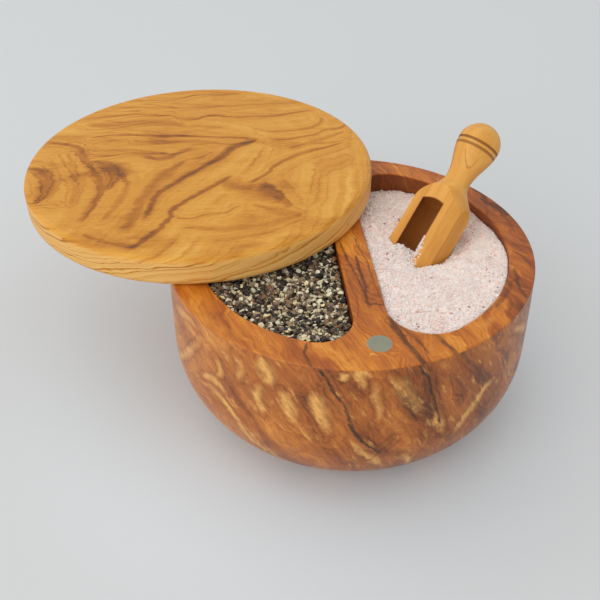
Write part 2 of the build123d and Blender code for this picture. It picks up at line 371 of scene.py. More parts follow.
# Each is a path in millimetres from the lid's middle, then widths along it in millimetres, how much
# softer its right-hand side is, and its strength.
LID_VEINS = [
    # the line over the tongue, and the one inside it
    ([(-44, 24.5), (-33, 26), (-23, 24), (-13, 22.5), (-2, 21), (8, 18.5), (16, 18), (22.5, 15.5)],
     (0.7, 1.2, 1.5, 1.4, 1.2, 1.3, 1.6), 1.0, 0.8),
    ([(-4, 13), (5, 14), (13, 12.5), (20, 13), (23, 15.5)], (0.5, 0.9, 1.0, 1.2), 1.0, 0.5),
    # down from the tongue's tip
    ([(23, 15.5), (19, 12), (13.5, 9.5), (10.5, 5), (8, 1), (2.5, -4), (-2.5, -9), (-6.5, -13), (-11, -18),
      (-14.5, -21.5), (-16.5, -26), (-18, -33), (-20, -40)],
     (1.3, 2.6, 2.2, 1.6, 2.0, 1.8, 2.0, 1.2), 1.3, 1.0),
    ([(-5, 1.5), (-9.5, -4), (-13.5, -8), (-16.5, -13.5), (-18.5, -20), (-22, -27), (-23, -35), (-27, -47)],
     (1.2, 3.0, 3.4, 3.0, 3.4, 2.6), 1.0, 0.6),
    ([(12, -13), (6, -19), (0, -24.5), (-5.5, -30), (-9.5, -34), (-11, -41), (-15, -47.5), (-20, -54),
      (-24, -58.5)], (0.6, 1.5, 1.5, 1.2, 1.5, 1.2, 1.4, 1.2), 1.6, 0.85),
    # right of it, rising to the right
    ([(58, 8.5), (51.5, 5.5), (43.5, 2.7), (38, 0), (32.5, -4), (28.5, -8), (25.5, -13.5), (19, -19)],
     (0.6, 1.0, 1.4, 1.2, 1.2, 1.0), 1.5, 0.7),
    ([(45, 9.5), (52, 8.8), (58.5, 10)], (0.5, 0.8, 0.5), 1.0, 0.5),
    ([(62.5, 24.5), (57, 20.5), (52, 20.5), (47.5, 16.5), (41, 15), (34, 13.5), (29.5, 15)],
     (1.8, 1.3, 1.3, 1.1, 0.9, 0.8), 1.0, 0.6),
    ([(24.5, -19), (27, -24.5), (30, -28.5), (32.5, -35), (31.5, -38.5)],
     (0.6, 1.4, 1.6, 1.2, 0.5), 5.0, 0.8),
    ([(44, -9), (46.5, -13.5), (49, -9.5), (53, -9.5), (58.5, -5.5)], (0.8, 1.6, 1.8, 1.6, 0.9), 1.0, 0.3),
    # the far left limb
    ([(-61.5, 23), (-54, 20.5), (-48.5, 17), (-46, 12.5), (-44.5, 7), (-42.5, 1), (-40, -4), (-37.5, -10.5),
      (-36.3, -19), (-38, -27), (-42, -39.5)], (1.0, 1.6, 1.7, 1.5, 1.4, 1.6, 1.8, 1.5), 2.2, 0.75),
    ([(-44.5, 8), (-36, 8.2), (-27, 9.5), (-17, 8), (-8, 6.5), (-1.5, 10.5)],
     (0.6, 0.9, 0.9, 1.2, 0.6), 1.0, 0.5),
    # two dark patches on the left, and the little eye in the tongue
    ([(-42, 5), (-37, 2), (-33, -3), (-32, -10), (-34.5, -18.5)], (1.0, 7.0, 8.0, 5.5, 1.0), 1.0, 0.72),
    ([(-65, 2.5), (-60, -2.5), (-57.5, -8), (-57, -15), (-58, -22), (-61, -26)],
     (1.5, 5.4, 4.8, 5.4, 4.6, 1.0), 1.0, 0.9),
    ([(-61, -27), (-54, -26), (-50.5, -28), (-53, -31.5), (-58, -32)], (0.5, 0.8, 0.9, 0.5), 1.0, 0.5),
    ([(-22, 6), (-15.5, 3), (-11, 4.5), (-7, 8.5), (-3, 11)], (1.5, 3.0, 2.6, 2.2, 0.8), 1.0, 0.6),
    ([(-6, 5), (-5, 1.5), (-1, 2), (3, 4.5), (5, 7)], (0.7, 0.9, 0.9, 0.7), 1.0, 0.5),
    # long lines across the far side
    ([(-50, 41), (-40, 43), (-27, 44), (-20, 42), (-11, 41), (-8, 38), (-2.5, 35.5), (2.5, 38.5), (8, 39),
      (13.5, 36.5), (24, 36), (32.5, 35.5), (41, 37.5), (49, 39.5)],
     (0.6, 1.4, 1.6, 1.3, 1.5, 1.1, 1.2, 0.9), 1.0, 0.62),
    ([(-46, 36), (-34, 34), (-24, 36), (-14, 35), (-6, 31)], (1.5, 4.6, 5.2, 4.2, 1.0), 1.0, 0.5),
    ([(-37, 51), (-22, 50.5), (-7, 48), (8, 47.5), (27, 47.5), (45, 47.5)],
     (0.4, 0.9, 1.0, 1.1, 0.8, 0.5), 1.0, 0.4),
    ([(-31, 57), (-11, 56.5), (2, 60.5), (19, 59)], (0.5, 1.0, 1.0, 0.6), 1.0, 0.4),
    ([(48, 38), (52, 33.5), (51.5, 27.5), (47, 23), (41, 21.5), (30, 21), (26, 23)],
     (1.2, 1.8, 1.8, 1.4, 1.2, 0.6), 1.0, 0.42),
    # soft brown bands beside the far left limb, under the tongue and along the near edge
    ([(-52, 12), (-49, 0), (-46, -14), (-47, -28)], (0.8, 3.0, 3.0, 1.0), 1.0, 0.35),
    ([(-27, 20), (-16, 17), (-4, 16.5), (8, 14.5)], (0.8, 2.4, 2.4, 0.8), 1.0, 0.35),
    ([(-30, -6), (-27, -16), (-30, -28), (-35, -40)], (0.8, 2.6, 2.6, 1.0), 1.0, 0.35),
    ([(-6, -47), (8, -50), (22, -49), (36, -43)], (0.8, 3.0, 3.0, 1.0), 1.0, 0.4),
    ([(36, 6), (44, 10), (53, 14), (60, 18)], (0.6, 1.8, 1.8, 0.6), 1.0, 0.35),
    # soft brown ground to the right of the middle, and small loops near the front
    ([(8, -17), (15, -22), (24, -27), (30, -33)], (2.0, 7.0, 8.0, 3.0), 1.0, 0.45),
    ([(19, -35), (27, -40), (36, -44)], (1.0, 3.4, 2.2), 1.0, 0.45),
    ([(-9, -39.5), (-4, -42), (1, -39.5), (8, -39.5), (13.5, -35)], (0.5, 0.9, 0.9, 1.0, 0.5), 1.0, 0.45),
    ([(-41, -47.5), (-33, -53), (-23, -57)], (1.2, 1.8, 1.5), 1.0, 0.6),
]


TONGUE_TIP = (21.8, 15.6)  # where the rings close, from the lid's middle
EDGE_CREAM = shade(226, 182, 116)


def lid_wood():
    """Rings round the tongue, strokes laid over them, and level lines down the edge."""
    material, tree, shader = new_material("lid_olive_wood")
    here = place_of(tree)
    local = vector_math(tree, "SUBTRACT", here, (lid_centre.x, lid_centre.y, lid_top))
    board_x, board_y, z = parts_of(local)
    # Ring surfaces lie almost level, so depth slides the pattern, 2 mm for each millimetre down.
    x = board_x - z * 2.0
    y = board_y + z * 2.1
    flat = joined(tree, x, y, z * 0.4)
    # Fraying: every edge breaks up into short threads along the grain.
    thread = ripple(flat, (8.0, 0.5, 3.0), detail=3, rough=0.65)
    tuft = ripple(flat, (6.0, 2.2, 4.0), detail=2, offset=71)
    x = x + thread * 1.7 + tuft * 1.6
    y = y + thread * 0.4 + tuft * 0.7
    point = joined(tree, x, y, 0.0)

    # The tongue: the distance from its tip plus a slope, drifting by a few millimetres.
    drift_x = ripple(flat, (26, 17, 20), detail=3, offset=3)
    drift_y = ripple(flat, (34, 15, 20), detail=3, offset=17)
    from_tip_x = x - TONGUE_TIP[0] + drift_x * 4.0
    from_tip_y = y - TONGUE_TIP[1] + drift_y * 4.0
    from_tip = (from_tip_x * from_tip_x + from_tip_y * from_tip_y) ** 0.5
    rings = from_tip * 0.917 + from_tip_x + from_tip_y * 0.445
    tone = line_noise(rings * 0.12, detail=2, rough=0.5)
    lines = line_noise(rings * 0.32 + 11.0, detail=4, rough=0.7)
    fine = line_noise(rings * 1.1 + 40.0, detail=2)
    strokes, gap = painted(point, LID_VEINS)
    # Near a stroke the rings run beside it, and further off they follow the tongue.
    beside = 1.0 - gap.step(3.0, 14.0)
    # The nearest stroke changes over along a line, so the slope hides that the two sides are alike.
    apart = gap + x * 0.16 - y * 0.1
    echo = line_noise(apart * 0.2 + 3.0, detail=3, rough=0.6)
    echo_lines = line_noise(apart * 0.55 + 17.0, detail=3, rough=0.65)
    ring_tone = mixed(beside * 0.8, tone, echo)
    ring_lines = mixed(beside * 0.8, lines, echo_lines).step(0.06, 0.42)
    halo = (gap * -0.3).math("EXPONENT")

    # Fibres, short dark dashes, and clouds of browner wood.
    streak = ripple(flat, (12.0, 0.35, 2.0), detail=4, rough=0.65, offset=9)
    dashes = ripple(flat, (7.0, 0.34, 2.0), detail=3, rough=0.7, offset=33).step(0.05, 0.5)
    cloud = ripple(flat, (30, 13, 20), detail=4, rough=0.6, offset=51).step(-0.02, 0.5)
    # Down the edge the rings are cut across, into a stack of fine level lines, and the edge is paler and
    # creamier.
    side = (0.0 - z).step(0.6, 2.6) * z.step(-11.0, -10.4)
    sway = ripple(joined(tree, board_x, 0.0, z * 3.0), (22, 22, 22), detail=3, offset=19)
    sheets = (z - board_x * 0.2 + sway * 4.0) * 0.75 + 8.0
    stack = line_noise(sheets, detail=4, rough=0.75).step(-0.05, 0.3)
    # All of it together, from 0, the darkest, to 1, the palest.
    top_base = 0.8 + ring_tone * 0.4 + fine * 0.08 - ring_lines * 0.24 - cloud * 0.3 - halo * 0.1
    side_base = 0.94 - stack * 0.62 + tone * 0.15
    ground = mixed(side, top_base, side_base) + streak * 0.22 - dashes * (1.0 - side) * 0.2
    base = ground - strokes * (0.46 + streak * 0.2 + tuft * 0.15) * (1.0 - side * 0.5)
    colour = ramp(base, [(0.0, UMBER), (0.25, TOFFEE), (0.5, TAWNY), (0.74, HONEY), (1.0, PALE_HONEY)])
    colour = blend(side * (1.0 - stack) * 0.5, colour, EDGE_CREAM)
    feed(tree, shader.inputs["Base Color"], colour)
    feed(tree, shader.inputs["Roughness"], streak * 0.06 + 0.5)
    shader.inputs["Specular IOR Level"].default_value = 0.25
    raise_bump(tree, shader, streak * 0.6 + thread * 0.4, 0.03)
    return material


dress("lid", lid_wood())
print("lid wood made; the pattern is centred on", [round(v, 1) for v in lid_centre])

# %% [markdown]
# ## Bowl wood
# The bowl comes from wilder wood, near a root: browner and redder, with golden flames and a few black
# veins. Its rings stand nearly upright and lean to the right, so on the front they run down like rain in
# wind, and on the left they are met flat and close into loops. The black veins, the golden flames and
# the brown shades between them are strokes as on the lid. On the rim they are laid in x and y, and on the
# turned side in arc length from the front and height.

# %% Bowl wood
RUST = shade(170, 96, 38)
CHESTNUT = shade(134, 70, 28)
BARK = shade(92, 48, 24)
AMBER = shade(204, 130, 52)
FLAME = shade(232, 174, 94)
BLACK_VEIN = shade(46, 32, 28)
RIM_VEIN = shade(92, 52, 26)
RIM_TINT = shade(252, 235, 178)
POCKET_SHADE = shade(106, 46, 20)
rim_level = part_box("bowl")[1].z / MM
side_radius = 65.3  # turns an angle round the bowl into arc length

RIM_VEINS = [
    # across the front of the rim
    ([(-21.4, -50.5), (-22.6, -56), (-22, -60), (-20, -66)], (0.4, 0.8, 0.6, 0.5), 1.0, 0.8),
    ([(6.5, -40), (8, -46), (9.3, -51.5), (11, -57), (12.5, -61.5), (14.5, -66)],
     (0.6, 1.0, 0.9, 0.8, 0.7), 2.5, 1.0),
    ([(8, -43), (11, -49), (13.6, -54), (15.5, -60)], (0.3, 0.7, 0.7, 0.3), 1.0, 0.7),
    ([(18.8, -49.6), (21, -54), (23, -58), (26, -65)], (0.5, 0.8, 0.9, 0.8), 2.0, 0.8),
    # round the right of the rim
    ([(54.5, -19), (54, -25), (53, -31), (54.2, -36)], (0.5, 0.9, 0.9, 0.6), 1.5, 0.85),
    ([(57, -8), (60, -14), (61, -20)], (0.4, 0.8, 0.4), 1.0, 0.6),
    ([(47, -38), (51, -41), (53, -38)], (1.5, 3.0, 1.5), 1.0, 0.4),
    ([(55, 27), (59, 20), (61, 10), (61.5, 2)], (0.4, 0.8, 0.8, 0.4), 1.0, 0.6),
    # down the divider
    ([(1.2, -5), (1.0, -13), (1.6, -20), (1.4, -27), (0.4, -32)], (0.4, 0.8, 0.8, 0.7, 0.6), 1.2, 1.0),
    ([(0.2, -31.4), (1.6, -33.6), (3.4, -33.2), (5.8, -34.6)], (0.7, 0.9, 0.7, 0.5), 1.0, 1.0),
    ([(-3.6, 6), (-2.6, -4), (-1.4, -13), (0.2, -22), (0.8, -30)], (0.4, 0.6, 0.6, 0.4), 1.0, 0.85),
    ([(2.2, 6), (3.6, -5), (4.6, -13), (4.8, -24), (5.6, -31)], (0.4, 0.6, 0.5, 0.4), 1.0, 0.7),
    ([(-4, -12), (-3.4, -22), (-2.4, -31), (-3.4, -40)], (0.3, 0.5, 0.5, 0.3), 1.0, 0.5),
    # right of the salt, and at the back
    ([(52, -26), (48, -33), (42, -40)], (0.6, 1.0, 0.6), 2.0, 0.6),
    ([(12, 61), (22, 59.5), (31, 55)], (0.4, 0.8, 0.4), 1.0, 0.5),
]
RIM_FLAMES = [
    ([(-3.4, -59), (-1.6, -57.6), (0, -59)], (0.5, 0.9, 0.5), 1.0, 0.9),
    ([(-16, -53), (-12, -57), (-10, -62)], (0.8, 1.6, 0.8), 1.0, 0.5),
    ([(29, -47), (36, -48), (41, -44)], (1.0, 3.0, 1.0), 1.0, 0.35),
    ([(-40, -48), (-52, -36), (-58, -22)], (1.0, 2.5, 1.5), 1.0, 0.3),
]
SIDE_VEINS = [
    # the long one left of the middle, and its companions
    ([(-19.2, 66), (-17.9, 63.6), (-14.8, 57), (-12.9, 53.7), (-11, 50.4), (-9.2, 43.8), (-8.5, 40.5),
      (-4.8, 34.9), (-1, 31.1), (1.5, 28)], (0.8, 0.9, 0.7, 0.9, 1.3, 0.7, 0.5), 1.0, 1.0),
    ([(-18, 60), (-17, 55), (-13.5, 50), (-11.5, 46)], (0.3, 0.7, 0.8, 0.3), 1.0, 0.6),
    ([(-26, 52), (-22, 46.5), (-19.5, 41), (-17, 35)], (0.3, 0.6, 0.7, 0.3), 1.0, 0.5),
    # right of the middle
    ([(11.5, 66), (13.4, 62.2), (15.9, 58.5), (16.5, 53.7), (18.4, 48.1), (20.3, 41.5), (21.5, 36.8)],
     (0.8, 0.7, 0.7, 0.6, 0.4), 1.4, 1.0),
    ([(26.6, 66), (30.3, 60.3), (34.1, 55.6), (37.2, 50), (40.3, 46)], (1.2, 0.9, 0.8, 0.9, 0.5), 1.8, 0.6),
    ([(34, 42), (37, 38), (41, 33), (46, 27)], (0.4, 0.8, 0.8, 0.4), 1.0, 0.4),
    # low down in the middle
    ([(-2, 24), (1, 30), (6, 36)], (0.3, 0.6, 0.3), 1.0, 0.5),
]
SIDE_FLAMES = [
    ([(-21.6, 56), (-20.3, 51), (-17.8, 45), (-15.8, 37)], (2.7, 4.4, 3.4, 1.4), 1.0, 1.0),
    ([(-10.6, 64), (-12.6, 60)], (2.4, 3.1), 1.0, 1.0),
    ([(-7.4, 67), (-6.8, 61), (-5.6, 56)], (3.1, 2.7, 1.0), 1.0, 0.8),
    ([(-39, 65), (-37, 60), (-35, 54.5)], (2.0, 5.1, 2.0), 1.0, 0.75),
    ([(-39.6, 55), (-40.6, 49), (-38.4, 41)], (2.7, 3.4, 1.7), 1.0, 0.8),
    ([(-32, 55.5), (-30, 50), (-28, 45), (-25.5, 40.5)], (1.7, 4.1, 2.7, 1.4), 1.0, 0.85),
    ([(-9.5, 36), (-5.5, 30), (-1, 25), (3.5, 17)], (1.4, 2.7, 2.4, 1.4), 1.0, 0.7),
    ([(18.6, 45), (20.3, 38.7), (23, 32)], (1.4, 2.9, 1.4), 1.0, 0.7),
    ([(26.6, 28.3), (31.6, 34.9), (35, 38), (40.3, 44.3), (45.4, 45.7)], (2.0, 3.1, 2.7, 2.0), 1.0, 0.75),
    ([(-70, 35.8), (-63.7, 38.7), (-57.4, 37.7), (-52.4, 34.9), (-48.7, 30.2), (-43.6, 22.6), (-40, 18)],
     (1.7, 3.1, 2.5, 3.1, 1.7), 1.0, 0.75),
    ([(-67.5, 40.5), (-61.2, 43.4), (-54.9, 42.9), (-52, 39)], (1.7, 2.7, 2.7, 1.4), 1.0, 0.85),
    ([(-86, 57.5), (-78.8, 59.9), (-70, 61.3), (-66.5, 58)], (1.7, 3.1, 2.5, 1.7), 1.0, 0.6),
    ([(-66.5, 58), (-68.5, 51.5), (-74, 46), (-83, 38), (-99, 25)], (2.0, 2.5, 2.5, 3.1, 2.0), 1.0, 0.6),
    ([(-58, 55), (-55, 50), (-56, 46)], (1.4, 2.7, 1.4), 1.0, 0.6),
    ([(2, 62), (7, 57), (11, 51), (15, 45)], (1.4, 4.1, 3.1, 1.4), 1.0, 0.4),
    ([(-2.5, 60), (-1, 52), (0.5, 44)], (1.0, 2.2, 1.0), 1.0, 0.5),
    ([(51.6, 61.3), (56.6, 58.5), (64.2, 53.7), (69.2, 49)], (1.4, 2.7, 2.4, 1.4), 1.0, 0.6),
    ([(8, 26), (12, 21), (15, 15)], (1.4, 2.7, 1.4), 1.0, 0.5),
    ([(-49, 62), (-46, 58), (-47, 52)], (1.4, 3.1, 1.4), 1.0, 0.45),
]
SIDE_SHADES = [
    ([(5, 60), (9, 52), (13, 43), (16, 34), (16, 26)], (2.0, 6.5, 7.0, 5.5, 2.0), 1.0, 0.75),
    ([(-52, 56), (-50, 48), (-46, 38), (-38, 26)], (2.0, 5.0, 5.0, 2.5), 1.0, 0.55),
    ([(-26, 60), (-24, 52), (-22, 42), (-18, 32)], (1.0, 2.6, 2.6, 1.0), 1.0, 0.6),
    ([(24, 60), (27, 52), (29, 44), (28, 36)], (1.5, 4.5, 4.5, 1.5), 1.0, 0.5),
    ([(44, 62), (48, 54), (50, 44), (46, 34)], (1.5, 4.5, 4.5, 1.5), 1.0, 0.55),
    ([(-84, 52), (-76, 54), (-70, 50)], (1.5, 3.5, 1.5), 1.0, 0.5),
]
print(len(RIM_VEINS) + len(SIDE_VEINS), "veins and", len(RIM_FLAMES) + len(SIDE_FLAMES), "flames on the bowl")


# %% The bowl's material
def bowl_wood():
    """Leaning rings, with the flames, the shades and the veins laid over them."""
    material, tree, shader = new_material("bowl_olive_wood")
    here = place_of(tree)
    # A frame of its own: the first axis crosses the rings, the others lie in them.
    across = Vector((1, 0.35, 0.55)).normalized()
    level = Vector((-0.35, 1, 0)).normalized()
    layers = seen_from(here, (0, 0, 0), (across, level, across.cross(level)))
    # Rings, bent by a slow swirl and small eddies, with fibres, flecks and clouds over them.
    swirl = ripple(here, (24, 34, 26), detail=3, rough=0.55, offset=5)
    eddy = ripple(layers, (4, 11, 8), detail=3, rough=0.6, offset=23)
    x, y, z = parts_of(here)
    rings = parts_of(layers)[0] * 1.18 + swirl * 15.0 + eddy * 3.2
    tone = line_noise(rings * 0.12, detail=3, rough=0.6)
    fine = line_noise(rings * 0.8 + 20.0, detail=3, rough=0.7)
    streak = ripple(layers, (0.5, 9.0, 9.0), detail=4, rough=0.6, offset=2)
    fleck = ripple(layers, (1.4, 6.0, 6.0), detail=4, rough=0.7, offset=44)
    cloud = ripple(layers, (10, 24, 18), detail=3, offset=61)
    # Where on the bowl: the flat rim, the inside of the compartments, or the turned outside.
    radius = (x * x + y * y) ** 0.5
    rim = z.step(rim_level - 0.7, rim_level - 0.1)
    inner = z.step(19, 20) * (1.0 - radius.step(58, 60)) * (1.0 - rim)
    outside = (1.0 - rim) * (1.0 - inner)

    # Strokes wander a little, and their edges fray along the grain.
    wander = ripple(here, (3, 3, 3), detail=4, rough=0.65, offset=31)
    frayed = fleck * 0.9 + wander * 0.9
    on_rim = joined(tree, x + frayed, y + wander * 0.5, 0.0)
    arc = x.math("ARCTAN2", 0.0 - y) * side_radius
    on_side = joined(tree, arc + frayed, z + wander * 0.8, 0.0)
    side_dark, side_gap = painted(on_side, SIDE_VEINS)
    rim_dark, _ = painted(on_rim, RIM_VEINS)
    on_flames = joined(tree, arc + frayed + eddy * 2.6, z + wander * 1.2 + swirl * 5.0, 0.0)
    side_flames, flame_gap = painted(on_flames, SIDE_FLAMES, core=-0.1, taper=0.25)
    rim_flames, _ = painted(on_rim, RIM_FLAMES, core=0.0, taper=0.2)
    # On the side the rings bend round the flames and the veins.
    gap = side_gap.least(flame_gap)
    beside = (1.0 - gap.step(2.0, 11.0)) * outside
    echo = line_noise(gap * 0.3 + 5.0, detail=3, rough=0.65)
    ring_tone = mixed(beside * 0.75, tone, echo)
    late = line_noise(rings * 0.3 + 60.0, detail=3, rough=0.65)
    late_echo = line_noise(gap * 0.5 + 31.0, detail=3, rough=0.65)
    edges = mixed(beside * 0.75, late, late_echo).step(0.1, 0.45)
    shades, _ = painted(on_flames, SIDE_SHADES, core=-0.3, taper=0.3)

    # The tone from 0, the darkest, to 1, the palest. Round to the left the side is paler: partly the wood,
    # partly painted light from the left.
    left_paler_partly_painted_light = 1.0 - arc.step(-80.0, 10.0)
    base = ring_tone * 0.6 + fine * 0.16 + streak * (rim * 0.16 + 0.14) + cloud * 0.4 + 0.46
    base = base + fleck * (0.22 - rim * 0.1) + (left_paler_partly_painted_light * 0.2 - shades * 0.3 - 0.1) * outside - edges * 0.17
    # The rim is paler than the side, and browner again on the right.
    base = base + rim * (0.15 - x.step(30, 58) * 0.17)
    colour = ramp(base, [(0.0, BARK), (0.2, CHESTNUT), (0.45, RUST), (0.72, AMBER), (1.0, FLAME)])
    licks = ripple(layers, (2.2, 10, 8), detail=4, rough=0.65, offset=77).step(0.08, 0.5) * 0.7
    flames = (side_flames * 1.05 + licks) * outside + rim_flames * rim
    flames = flames * (fleck * 1.2 + wander * 0.9 + 0.84)
    colour = blend(flames.most(0.0).least(0.88), colour, FLAME)
    cracks = ripple(layers, (0.9, 11, 9), detail=4, rough=0.7, offset=93).step(0.25, 0.55) * 0.4
    broken = (wander * 1.1 + fleck * 0.7 + 0.85).least(1.0).most(0.1)
    dark = side_dark * outside * broken + rim_dark * rim * (wander * 0.6 + 0.95)
    colour = blend((dark + cracks * outside).least(0.9), colour, blend(rim, BLACK_VEIN, RIM_VEIN))
    # The compartments' walls are darkened: painted shade in the recesses.
    colour = blend(inner * 0.7, colour, POCKET_SHADE)
    colour = blend(rim, colour, RIM_TINT, "MULTIPLY")
    feed(tree, shader.inputs["Base Color"], colour)
    feed(tree, shader.inputs["Roughness"], streak * 0.05 + 0.44 - outside * 0.1)
    shader.inputs["Specular IOR Level"].default_value = 0.35
    # A Bump node works its height out three times over, so the strokes are left out of the relief.
    raise_bump(tree, shader, streak, 0.025)
    return material


dress("bowl", bowl_wood())
print("bowl wood made, with the rim", round(rim_level, 1), "mm up")

# %% [markdown]
# ## Scoop
# The scoop is plainer, straighter wood than the box. Its figure follows its own axis, so the axis and the
# mouth are measured first: the axis from the joint that lifts it, and its length from its mesh. The bore
# is darker, partly as end grain drinks the oil and partly as painted shade, and the two grooves at the
# knob are burnt in.

# %% Where the scoop lies
lift_joint = next(joint for joint in frame["record"]["behaviour"]["joints"] if joint["name"] == "scoop_lift")
scoop_axis = Vector(lift_joint["axis"]).normalized()
scoop_points = [vertex.co / MM for vertex in nodes["scoop"].data.vertices]
knob_tip = max(scoop_points, key=scoop_axis.dot)  # the knob's pole, so it lies on the axis
scoop_length = scoop_axis.dot(knob_tip) - min(map(scoop_axis.dot, scoop_points))
scoop_mouth = knob_tip - scoop_axis * scoop_length
slot_facing = Vector((-0.6045, -0.2885, 0.7425))  # the way that the open slot looks
slot_side = scoop_axis.cross(slot_facing)
barrel_radius = 11.1
bore_radius = 8.3
bore_depth = 34.5  # at the bore's wall
slot_height = 6.7  # from the axis to the flat cut
ring_from_tip = 9.8  # knob's pole to the bead between its two grooves
print("scoop:", round(scoop_length, 1), "mm long, mouth at", [round(v, 1) for v in scoop_mouth])


# %% Scoop wood
HANDLE_MARK = [(1.0, 57.5), (2.2, 53.8), (3.9, 50.5), (4.9, 52.8), (6.1, 57)]  # across and along, mm


def scoop_wood():
    """Straight grain along the scoop, with a bore darkened partly by painted shade, and two burnt grooves."""
    material, tree, shader = new_material("scoop_olive_wood")
    here = place_of(tree)
    local = seen_from(here, scoop_mouth, (slot_facing, slot_side, scoop_axis))
    u, v, w = parts_of(local)
    drift = ripple(local, (12, 12, 40), detail=2)
    rings = u * 0.5 + v * 0.85 + drift * 3.0
    tone = line_noise(rings * 0.3, detail=3)
    streak = ripple(local, (0.5, 0.5, 9.0), detail=4, rough=0.6, offset=4)
    base = tone * 0.4 + streak * 0.22 + 0.55
    colour = ramp(
        base,
        [(0.0, UMBER), (0.25, shade(184, 116, 46)), (0.5, shade(210, 146, 62)),
         (0.75, shade(224, 168, 82)), (1.0, shade(233, 188, 110))],
    )
    radius = (u * u + v * v) ** 0.5
    # The drill's end is a cone, so the bore is deepest on the axis.
    bore_end = (bore_radius - radius) * 0.6 + bore_depth
    bore_wood_and_shade = (1.0 - radius.step(bore_radius, bore_radius + 0.3)) * (1.0 - (w - bore_end).step(0.0, 0.3))
    # The bore's darker colour is partly the wood and partly painted shade.
    colour = blend(bore_wood_and_shade * 0.7, colour, shade(142, 72, 32))
    # A faint V of grain under the rings, on the side that faces up.
    mark, _ = vein(joined(tree, v + drift * 0.6, w, 0.0), HANDLE_MARK, (0.5, 0.7, 0.8, 0.7, 0.5), taper=0.15)
    colour = blend(mark * u.step(0.0, 1.0) * 0.5, colour, shade(150, 84, 32))
    grooves = 1.0 - ((w - (scoop_length - ring_from_tip)).size() - 1.0).size().step(0.35, 0.7)
    colour = blend(grooves * 0.7, colour, shade(118, 62, 26))
    feed(tree, shader.inputs["Base Color"], colour)
    feed(tree, shader.inputs["Roughness"], streak * 0.05 + 0.45)
    shader.inputs["Specular IOR Level"].default_value = 0.3
    raise_bump(tree, shader, streak, 0.03)
    return material


dress("scoop", scoop_wood())
print("scoop wood made")

# %% [markdown]
# ## Magnets and pin
# The magnets are nickel-plated and handled a lot, so they are satin, a little greenish, and smudged. The
# scratches run one way, from long thin noise. The pin is bright drawn steel, hidden under the lid.

# %% Metal
def satin_metal(name, tone, rough):
    """Metal with fine scratches along x and a few smudges."""
    material, tree, shader = new_material(name)
    here = place_of(tree)
    scratch = ripple(here, (1.5, 0.08, 1.5), detail=3, rough=0.7)
    smudge = ripple(here, (2.2, 2.2, 2.2), detail=2, offset=8)
    smudged = (*(part * 0.82 for part in tone[:3]), 1.0)
    feed(tree, shader.inputs["Base Color"], blend(smudge * 0.5 + 0.5, tone, smudged))
    shader.inputs["Metallic"].default_value = 0.9
    feed(tree, shader.inputs["Roughness"], scratch * 0.06 + smudge * 0.05 + rough)
    raise_bump(tree, shader, scratch, 0.004)
    return material


dress("bowl_magnet", satin_metal("satin_magnet", shade(160, 160, 140), 0.42))
dress("lid_magnet", nodes["bowl_magnet"].data.materials[0])
dress("pivot_pin", satin_metal("bright_pin", shade(196, 196, 198), 0.25))
print("magnets and pin dressed")

# %% [markdown]
# ## Heaps of grains
# Loose salt and cracked pepper can't be modelled grain by grain to the bottom of the box. Each is a
# closed mound that fills its compartment, with a rumpled top, and a layer of single grains strewn over
# it. The mound starts as a fine grid, which is trimmed by one cut for each facet of the compartment's
# wall, lifted to its height, and drawn down to the floor. The walls come from the CAD node that the
# mound replaces, so it fits the bowl exactly.

# %% The walls of a compartment
def everything_in(bm):
    """What the cutting operators are given: every vertex, edge and face."""
    return [*bm.verts, *bm.edges, *bm.faces]


def walls_of(node):
    """The upright facets round a CAD node, each as a point on it and the direction out of it."""
    low, high = (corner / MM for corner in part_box(node))
    outline = bmesh.new()
    for vertex in nodes[node].data.vertices:
        outline.verts.new(vertex.co / MM)
    bmesh.ops.remove_doubles(outline, verts=outline.verts, dist=0.01)
    bmesh.ops.convex_hull(outline, input=outline.verts)
    # A level cut well above the rounded floor leaves only the outline.
    bmesh.ops.bisect_plane(
        outline, geom=everything_in(outline), plane_co=(0, 0, low.z + 10), plane_no=(0, 0, 1),
        clear_outer=True, clear_inner=True,
    )
    bmesh.ops.dissolve_limit(outline, angle_limit=radians(0.5), verts=outline.verts, edges=outline.edges)
    middle = (low + high) / 2
    walls = []
    for edge in outline.edges:
        start, end = (vertex.co for vertex in edge.verts)
        outward = (end - start).cross(Vector((0, 0, 1))).normalized()
        if outward.dot(start - middle) < 0:
            outward.negate()
        walls.append((start.copy(), outward))
    outline.free()
    return walls


print("salt compartment:", len(walls_of("salt")), "walls; pepper:", len(walls_of("pepper")))


# %% A mound between those walls
def mound(node, height, spacing, floor_round):
    """A closed bmesh, in millimetres, whose top follows height(x, y)."""
    low, high = (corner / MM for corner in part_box(node))
    middle, half = (low + high) / 2, (high - low) / 2
    # A fine grid over the compartment, trimmed to its walls.
    bm = bmesh.new()
    bmesh.ops.create_grid(
        bm,
        x_segments=round(2 * half.x / spacing),
        y_segments=round(2 * half.y / spacing),
        size=1,
        matrix=Matrix.Translation((middle.x, middle.y, 0)) @ Matrix.Diagonal((half.x, half.y, 1, 1)),
    )
    for point, outward in walls_of(node):
        point = Vector((point.x, point.y, 0))
        bmesh.ops.bisect_plane(
            bm, geom=everything_in(bm), plane_co=point, plane_no=outward, clear_outer=True, dist=0.001
        )
    bmesh.ops.remove_doubles(bm, verts=bm.verts, dist=spacing / 12)
    # Its top is lifted, and its edge drawn down to the floor, closed and rounded.
    for vertex in bm.verts:
        vertex.co.z = height(vertex.co.x, vertex.co.y)
    rim = [edge for edge in bm.edges if edge.is_boundary]
    skirt = bmesh.ops.extrude_edge_only(bm, edges=rim)["geom"]
    for vertex in (item for item in skirt if isinstance(item, bmesh.types.BMVert)):
        vertex.co.z = low.z
    foot = [edge for edge in bm.edges if edge.is_boundary]
    bmesh.ops.contextual_create(bm, geom=foot)
    bmesh.ops.bevel(
        bm, geom=foot, offset=floor_round, segments=3, profile=0.5, affect="EDGES", material=-1
    )
    bmesh.ops.recalc_face_normals(bm, faces=bm.faces)
    return bm


